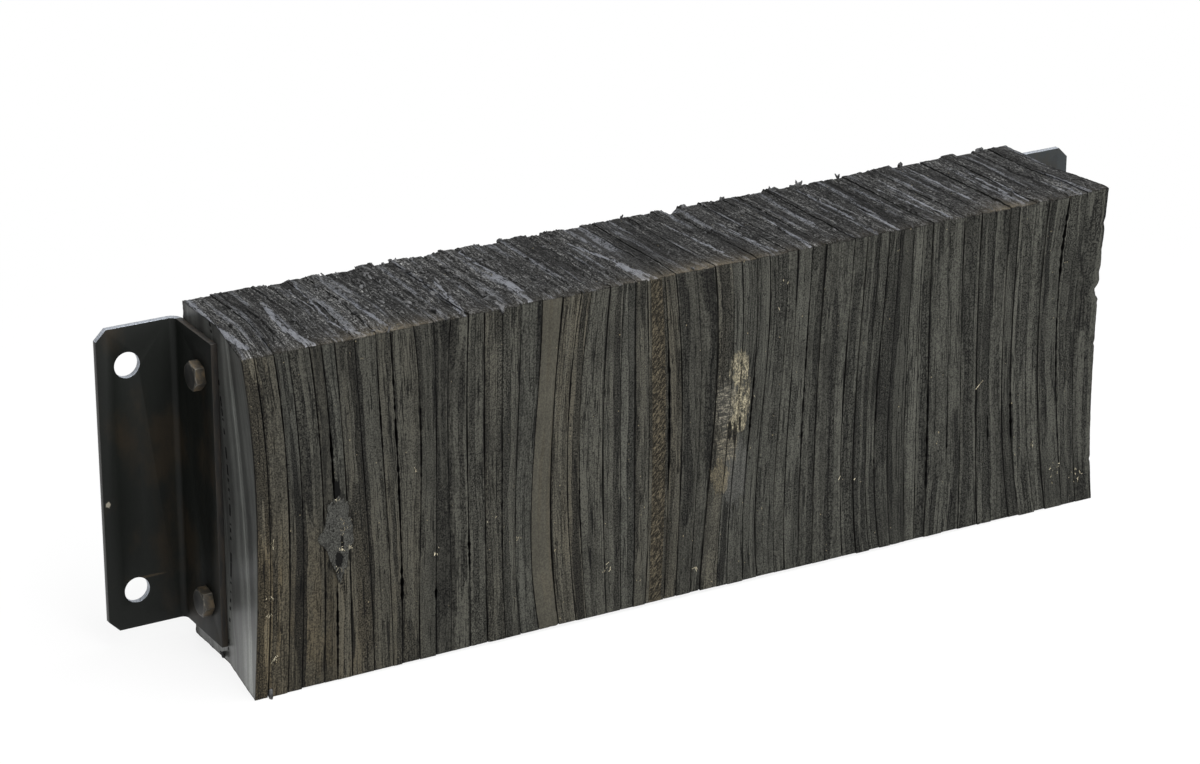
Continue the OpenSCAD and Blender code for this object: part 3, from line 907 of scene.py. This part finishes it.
def bore_cutter():
    """The two rods' holes through the stack, as one cutting piece."""
    low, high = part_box("tie_bolts")
    bolt = points_of(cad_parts["tie_bolts"].data)
    tail = bolt[bolt[:, 0] > high.x - BOLT_TAIL]
    radius = (tail[:, 1].max() - tail[:, 1].min()) / 2 + BORE_CLEARANCE
    depth = (tail[:, 1].max() + tail[:, 1].min()) / 2
    reach = tail[:, 2].max() - radius + BORE_CLEARANCE
    deselect()
    cylinders = []
    for height in (-reach, reach):
        bpy.ops.mesh.primitive_cylinder_add(vertices=24, radius=radius, depth=2 * (high.x - low.x),
                                            location=(0, depth, height), rotation=(0, math.pi / 2, 0))
        cylinders.append(bpy.context.object)
    for cylinder in cylinders:
        cylinder.select_set(True)
    bpy.ops.object.join()
    cutter = bpy.context.object
    bpy.ops.object.transform_apply()
    return cutter


def build_plies(rubber):
    """All the plies. Returns their seams and the points of their torn tops."""
    blank = ply_blank()
    cutter = bore_cutter()
    seams = [Seams(node) for node in PLIES]
    cracks = [[] for _ in range(len(PLIES) + 1)]
    for place, high, low, width in CRACKS:
        level = (high + low) / 2 * MM
        joints = [float(s.at(0, s.front, level)) for s in seams]
        nearest = min(range(1, len(PLIES)), key=lambda k: abs(joints[k] - place * MM))
        cracks[nearest].append((high, low, width))
    middles = np.array([(s.at(0, s.front, s.top) + s.at(1, s.front, s.top)) / 2 / MM for s in seams])
    stocks = [(place, "dark") for place in DARK_STOCK] + [(SMOOTH_TAN, "plain"), (COARSE_CORDS, "coarse")]
    special = {0: "end"} | {int(np.argmin(np.abs(middles - place))): stock for place, stock in stocks}
    tops = []
    for index, node in enumerate(PLIES):
        piece, top = fit_ply(index + 1, blank, seams[index], cracks[index], cracks[index + 1],
                             special.get(index, "mixed"))
        tops.append(top)
        finish_with(piece, "BOOLEAN", object=cutter, operation="DIFFERENCE", solver="EXACT")
        take(piece, "ply_rubber", rubber, node=node)
    bpy.data.objects.remove(blank)
    bpy.data.objects.remove(cutter)
    return seams, np.concatenate(tops)


def build_knot(front, finish):
    """A lump of folded rubber that fills a gap of the front face."""
    x, z, half_width, half_height = (v * MM for v in KNOT)
    deselect()
    bpy.ops.mesh.primitive_cylinder_add(vertices=160, radius=1, depth=1, rotation=(math.pi / 2, 0, 0))
    knot = bpy.context.object
    bpy.ops.object.transform_apply()
    knot.name = "folded_rubber_knot"
    finish_with(knot, "BEVEL", width=0.04, segments=2, limit_method="ANGLE", angle_limit=math.radians(60))
    points = points_of(knot.data)
    ragged = 1 + 0.22 * wrinkle(points * np.array((1, 0, 1)), (3.2, 1, 3.2), 4)
    narrow = 0.5 + 0.5 * smooth_step(points[:, 2], -0.75, 0.05)
    lobe = np.where(points[:, 0] < 0, 1 + 0.35 * np.exp(-((points[:, 2] - 0.06) / 0.16) ** 2), 1)
    outline = np.stack([ragged * narrow * lobe, np.ones_like(ragged), ragged], 1)
    shaped = points * np.array((half_width, KNOT_THICKNESS, half_height)) * outline
    move_points(knot.data, shaped + np.array((x, front + KNOT_SUNK, z)))
    smooth(knot, 40)
    take(knot, "ply_rubber", finish)


def build_cord_ends(front, finish):
    """Loose ends of tyre cord that hang out of the front face."""
    draw = random.Random(7)
    deselect()
    bpy.ops.mesh.primitive_cylinder_add(vertices=5, radius=1, depth=1)
    blank = bpy.context.object
    places = []
    for x, z, spread, count in CORD_ENDS:
        for _ in range(count):
            spot = ((x + draw.gauss(0, spread / 2)) * MM, front - draw.uniform(0, 0.4) * MM,
                    (z + draw.gauss(0, spread / 2)) * MM)
            thick = draw.uniform(0.13, 0.27) * MM
            size = (thick, thick, draw.uniform(0.9, 3.6) * MM)
            places.append((spot, size, (draw.uniform(-0.5, 0.5), draw.gauss(0, 0.7), 0)))
    x, z, length, lean = LONG_CORD
    places.append(((x * MM, front - 0.3 * MM, z * MM), (0.24 * MM, 0.24 * MM, length * MM), (0, lean, 0)))
    take(scatter("loose_cord_ends", blank, places), "ply_rubber", finish)


def build_crumbs(tops, finish):
    """Crumbs of rubber torn loose on the top, and tufts along its edges."""
    draw = random.Random(11)
    deselect()
    bpy.ops.mesh.primitive_ico_sphere_add(subdivisions=1, radius=1)
    places = []
    for _ in range(CRUMBS):
        spot = Vector(tops[draw.randrange(len(tops))])
        thick = math.exp(-((spot.x / MM - CRUMBLED[0]) / CRUMBLED[1]) ** 2)
        if draw.random() > 0.3 + thick:
            continue
        size = (0.75 + 0.75 * thick) * draw.choice(CRUMB_SIZES) * draw.uniform(0.8, 1.3) * MM
        sizes = (size * draw.uniform(0.4, 0.8), size * draw.uniform(0.8, 2.4), size * draw.uniform(0.4, 0.9))
        places.append((spot, sizes, (draw.uniform(-0.5, 0.5), draw.uniform(-0.5, 0.5), draw.gauss(0, 0.35))))
    take(scatter("rubber_crumbs", bpy.context.object, places), "ply_rubber", finish)
    deselect()
    bpy.ops.mesh.primitive_ico_sphere_add(subdivisions=2, radius=1)
    places = []
    for x, y, z, tall, wide in TUFTS:
        for _ in range(4):
            spot = ((x + draw.uniform(-0.5, 0.5) * wide) * MM, (y + draw.uniform(-1, 1)) * MM, z * MM)
            size = (draw.uniform(0.25, 0.45) * wide * MM, draw.uniform(0.4, 1.2) * MM,
                    draw.uniform(0.4, 0.9) * tall * MM)
            turn = (draw.uniform(-0.4, 0.4), draw.uniform(-0.5, 0.5), draw.uniform(-0.4, 0.4))
            places.append((spot, size, turn))
    tufts = scatter("rubber_tufts", bpy.context.object, places)
    points = points_of(tufts.data)
    points = points + 0.5 * MM * np.stack([wrinkle(points + k, (600, 600, 600)) for k in range(3)], 1)
    points[:, 2] = np.maximum(points[:, 2], cad_box[0].z)
    move_points(tufts.data, points)
    take(tufts, "ply_rubber", finish)


# Steel


def build_angle(node, scale, edge, bend, rust):
    """A bent plate angle with rounded arrises, sheared edges, a worn bend and a rusty front edge."""
    low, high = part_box(node)
    outer = low.x if low.x < 0 else high.x
    piece = copy_of_node(node, f"bent_{node}")
    for material in (scale, edge, bend, rust):
        piece.data.materials.append(material)

    def tall(face):
        heights = [v.co.z for v in face.verts]
        return max(heights) - min(heights) > 12 * MM

    def sheared(face):
        centre, normal = face.calc_center_median(), face.normal
        bore = abs(normal.y) < 0.2 and not tall(face)
        return (normal.z > 0.3 or bore) and centre.y > -9 * MM

    def rubbed(face):
        tip = abs(face.calc_center_median().x - outer) < 9 * MM and abs(face.normal.y) < 0.5
        return tall(face) and tip

    def leading(face):
        depth, normal = face.calc_center_median().y, face.normal
        tip = depth < low.y + 0.5 * MM and normal.y < -0.9
        return tip or (abs(normal.z) > 0.9 and depth < -9 * MM)

    bpy.ops.object.mode_set(mode="EDIT")
    pick("faces", lambda face: abs(face.normal.z) > 0.9)
    bpy.ops.mesh.bisect(plane_co=(0, -8 * MM, 0), plane_no=(0, 1, 0))
    bpy.ops.object.mode_set(mode="OBJECT")
    assign(piece, 0, lambda face: True)
    assign(piece, 1, sheared)
    assign(piece, 2, rubbed)
    assign(piece, 3, leading)
    finish_with(piece, "BEVEL", width=ARRIS, segments=2, limit_method="ANGLE", angle_limit=math.radians(40))
    smooth(piece, 35)
    take(piece, "angle_steel", node=node)


def build_fasteners(node, name, face_steel, rim_steel, flat_steel):
    """Hex heads or nuts: dark end faces, rusty flats and rubbed edges."""
    piece = copy_of_node(node, name)
    for material in (face_steel, rim_steel, flat_steel):
        piece.data.materials.append(material)
    assign(piece, 0, lambda face: True)
    assign(piece, 2, lambda face: abs(face.normal.x) < 0.3)
    finish_with(piece, "BEVEL", width=ARRIS, segments=2, limit_method="ANGLE", angle_limit=math.radians(25),
                material=1)
    smooth(piece, 30)
    take(piece, "bolt_steel", node=node)


# Stage


def build_stage():
    """A wide pale floor that the camera sees as white and that keeps the object's shadow, and a dark card."""
    foot = Vector((0, 0, cad_box[0].z))
    deselect()
    bpy.ops.mesh.primitive_plane_add(size=FLOOR_WIDTH, location=foot)
    floor = bpy.context.object
    floor.name = "floor"
    bpy.ops.object.transform_apply()
    f = Finish("pale_floor")
    far = f.node("ShaderNodeVectorMath", {"operation": "LENGTH"}, {0: f.place()}, out="Value")
    matte = f.node("ShaderNodeBsdfDiffuse", None, {"Color": (0.8, 0.8, 0.8, 1)})
    white = f.node("ShaderNodeEmission", None, {"Color": (1, 1, 1, 1), "Strength": 1.0})
    share = f.seen() * f.ease(far, *FLOOR_FADE, FLOOR_WHITE, 1.0)
    mixed = f.node("ShaderNodeMixShader", None, {0: share, 1: matte, 2: white})
    f.node("ShaderNodeOutputMaterial", None, {"Surface": mixed})
    floor.data.materials.append(f.owner)

    deselect()
    bpy.ops.mesh.primitive_plane_add(size=1, location=foot + CARD_MIDDLE, rotation=(math.pi / 2, 0, 0))
    card = bpy.context.object
    card.name = "dark_card"
    card.scale = CARD_SIZE
    bpy.ops.object.transform_apply()
    for rays in ("camera", "diffuse", "transmission", "volume_scatter", "shadow"):
        setattr(card, f"visible_{rays}", False)
    f = Finish("black_card")
    black = f.surface(Base_Color=(0.01, 0.01, 0.01, 1), Roughness=1.0, Specular_IOR_Level=0.0)
    card.data.materials.append(black)


def build_world():
    """White where the camera and reflections look, and a dim even light elsewhere."""
    f = Finish("studio", "worlds")
    bpy.context.scene.world = f.owner
    level = f.node("ShaderNodeMapRange", None, {"Value": f.seen(), "To Min": EVEN_LIGHT, "To Max": 1.0})
    light = f.node("ShaderNodeBackground", None, {"Strength": level})
    f.node("ShaderNodeOutputWorld", None, {"Surface": light})


def add_lamp(name, place, target, size, power):
    light = bpy.data.lights.new(name, "AREA")
    light.shape, light.size, light.energy = "DISK", size, power
    lamp = bpy.data.objects.new(name, light)
    bpy.context.scene.collection.objects.link(lamp)
    lamp.location = place
    lamp.rotation_euler = (Vector(target) - Vector(place)).to_track_quat("-Z", "Y").to_euler()


def build_camera():
    back = Vector((math.sin(AZIMUTH) * math.cos(ELEVATION), -math.cos(AZIMUTH) * math.cos(ELEVATION),
                   math.sin(ELEVATION)))
    data = bpy.data.cameras.new("view")
    data.lens, data.sensor_width = LENS_MM, SENSOR_MM
    data.clip_start, data.clip_end = 0.05, 100
    camera = bpy.data.objects.new("view", data)
    bpy.context.scene.collection.objects.link(camera)
    camera.location = EYE
    camera.rotation_euler = (-back).to_track_quat("-Z", "Y").to_euler()
    camera.rotation_euler.rotate_axis("Z", ROLL)
    bpy.context.scene.camera = camera


build_camera()
ply_seams, torn_tops = build_plies(rubber_finish())
front_face = float(np.median([s.front for s in ply_seams]))
build_knot(front_face, knot_finish())
build_cord_ends(front_face, cord_finish())
build_crumbs(torn_tops, crumb_finish())
scale = scale_finish()
steel = {name: worn_finish(name, *values) for name, values in STEELS.items()}
for angle in ("left_angle", "right_angle"):
    build_angle(angle, scale, steel["sheared_edge"], steel["worn_bend"], steel["rusty_edge"])
for fastener, name in (("tie_bolts", "long_tie_bolts"), ("tie_nuts", "hex_tie_nuts")):
    build_fasteners(fastener, name, steel["bolt_face"], steel["bolt_rim"], steel["bolt_flat"])
build_stage()
build_world()
for name, values in LAMPS.items():
    add_lamp(name, *values)
bpy.context.scene.view_settings.view_transform = "Standard"
